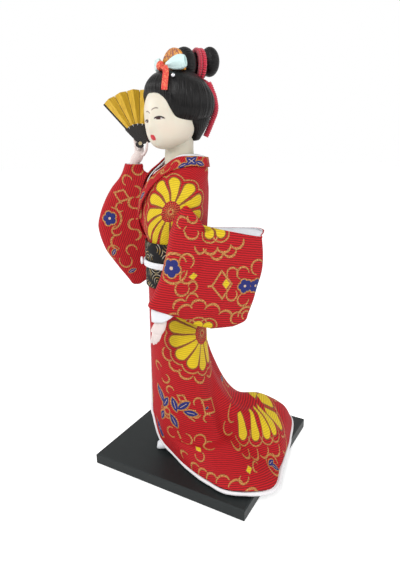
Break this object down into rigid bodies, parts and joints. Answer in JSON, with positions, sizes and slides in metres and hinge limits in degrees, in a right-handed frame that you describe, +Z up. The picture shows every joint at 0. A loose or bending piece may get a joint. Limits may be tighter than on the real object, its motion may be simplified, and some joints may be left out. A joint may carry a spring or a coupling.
{
  "type": "geisha doll",
  "caption": "Costume doll in a brocade kimono with a trailing skirt, raising a folding fan in its right hand, on a square stand.",
  "frame": {"origin": "middle of the stand's underside", "axes": "+Z up, -Y the way the doll's front faces, +X towards its left hand; the stand is turned 45 degrees under it"},
  "size_m": [0.1768, 0.1768, 0.2996],
  "materials": {
    "lacquered_board": "satin black lacquer",
    "white_cloth": "plain white cotton",
    "skin": "smooth pale",
    "face": "soft satin ivory with painted features",
    "pin_steel": "bare",
    "brocade": "ribbed red brocade with yellow, gold and navy flowers",
    "sash": "black brocade with silver and gold waves",
    "clasp": "polished white",
    "hair": "combed and lacquered black strands",
    "cord": "crimson crepe",
    "comb_lacquer": "gold lacquer with red specks",
    "aqua_ribbon": "pale crepe",
    "coral_ribbon": "coral and gold brocade",
    "pin_silver": "polished",
    "fan_lacquer": "black lacquer",
    "gold_paper": "gold foil paper",
    "rivet_brass": "polished"
  },
  "bodies": {
    "figure": {"stand_board": "lacquered_board", "left_foot": "white_cloth", "right_foot": "white_cloth", "under_collar_left": "white_cloth", "under_collar_right": "white_cloth", "obi_cord": "white_cloth", "skirt_lining": "white_cloth", "hem_roll": "white_cloth", "left_sleeve_lining": "white_cloth", "right_sleeve_lining": "white_cloth", "left_cuff": "white_cloth", "left_leg": "skin", "right_leg": "skin", "torso_form": "skin", "left_arm": "skin", "right_arm": "skin", "left_hand": "skin", "right_hand": "skin", "left_foot_pin": "pin_steel", "right_foot_pin": "pin_steel", "kimono_bodice": "brocade", "kimono_collar_left": "brocade", "kimono_collar_right": "brocade", "kimono_skirt": "brocade", "left_sleeve": "brocade", "right_sleeve": "brocade", "obi": "sash", "obi_knot": "sash", "obi_clasp": "clasp", "fan_guard_rear": "fan_lacquer", "fan_leaf_1": "gold_paper", "fan_rivet": "rivet_brass"},
    "head": {"head": "face", "hair_cap": "hair", "topknot_front": "hair", "topknot_rear": "hair", "hair_cord": "cord", "hair_cord_tail": "cord", "comb": "comb_lacquer", "bow_left": "aqua_ribbon", "bow_right": "aqua_ribbon", "bow_knot": "coral_ribbon", "bow_tail": "coral_ribbon", "hair_pin": "pin_silver"},
    "fan_stick_1": {"fan_stick_1": "fan_lacquer", "fan_leaf_2": "gold_paper"},
    "fan_stick_2": {"fan_stick_2": "fan_lacquer", "fan_leaf_3": "gold_paper"},
    "fan_stick_3": {"fan_stick_3": "fan_lacquer", "fan_leaf_4": "gold_paper"},
    "fan_stick_4": {"fan_stick_4": "fan_lacquer", "fan_leaf_5": "gold_paper"},
    "fan_stick_5": {"fan_stick_5": "fan_lacquer", "fan_leaf_6": "gold_paper"},
    "fan_stick_6": {"fan_stick_6": "fan_lacquer", "fan_leaf_7": "gold_paper"},
    "fan_stick_7": {"fan_stick_7": "fan_lacquer", "fan_leaf_8": "gold_paper"},
    "fan_guard_front": {"fan_guard_front": "fan_lacquer"}
  },
  "joints": [
    {"name": "head_turn", "type": "hinge", "parent": "figure", "child": "head", "pos_m": [0, -0.0196, 0.235], "axis": [0, 0, 1], "range_deg": [-30, 30]},
    {"name": "fan_fold_1", "type": "hinge", "parent": "figure", "child": "fan_stick_1", "pos_m": [-0.035, -0.0402, 0.238], "axis": [0.9903, -0.1392, 0], "range_deg": [0, 13.5], "deforming": ["fan_leaf_1"]},
    {"name": "fan_fold_2", "type": "hinge", "parent": "fan_stick_1", "child": "fan_stick_2", "pos_m": [-0.035, -0.0402, 0.238], "axis": [0.9903, -0.1392, 0], "range_deg": [0, 13.5], "deforming": ["fan_leaf_2"]},
    {"name": "fan_fold_3", "type": "hinge", "parent": "fan_stick_2", "child": "fan_stick_3", "pos_m": [-0.035, -0.0402, 0.238], "axis": [0.9903, -0.1392, 0], "range_deg": [0, 13.5], "deforming": ["fan_leaf_3"]},
    {"name": "fan_fold_4", "type": "hinge", "parent": "fan_stick_3", "child": "fan_stick_4", "pos_m": [-0.035, -0.0402, 0.238], "axis": [0.9903, -0.1392, 0], "range_deg": [0, 13.5], "deforming": ["fan_leaf_4"]},
    {"name": "fan_fold_5", "type": "hinge", "parent": "fan_stick_4", "child": "fan_stick_5", "pos_m": [-0.035, -0.0402, 0.238], "axis": [0.9903, -0.1392, 0], "range_deg": [0, 13.5], "deforming": ["fan_leaf_5"]},
    {"name": "fan_fold_6", "type": "hinge", "parent": "fan_stick_5", "child": "fan_stick_6", "pos_m": [-0.035, -0.0402, 0.238], "axis": [0.9903, -0.1392, 0], "range_deg": [0, 13.5], "deforming": ["fan_leaf_6"]},
    {"name": "fan_fold_7", "type": "hinge", "parent": "fan_stick_6", "child": "fan_stick_7", "pos_m": [-0.035, -0.0402, 0.238], "axis": [0.9903, -0.1392, 0], "range_deg": [0, 13.5], "deforming": ["fan_leaf_7"]},
    {"name": "fan_fold_8", "type": "hinge", "parent": "fan_stick_7", "child": "fan_guard_front", "pos_m": [-0.035, -0.0402, 0.238], "axis": [0.9903, -0.1392, 0], "range_deg": [0, 13.5], "deforming": ["fan_leaf_8"]}
  ],
  "couplings": [
    {"joint": "fan_fold_2", "follows": "fan_fold_1", "ratio": 1},
    {"joint": "fan_fold_3", "follows": "fan_fold_1", "ratio": 1},
    {"joint": "fan_fold_4", "follows": "fan_fold_1", "ratio": 1},
    {"joint": "fan_fold_5", "follows": "fan_fold_1", "ratio": 1},
    {"joint": "fan_fold_6", "follows": "fan_fold_1", "ratio": 1},
    {"joint": "fan_fold_7", "follows": "fan_fold_1", "ratio": 1},
    {"joint": "fan_fold_8", "follows": "fan_fold_1", "ratio": 1}
  ]
}
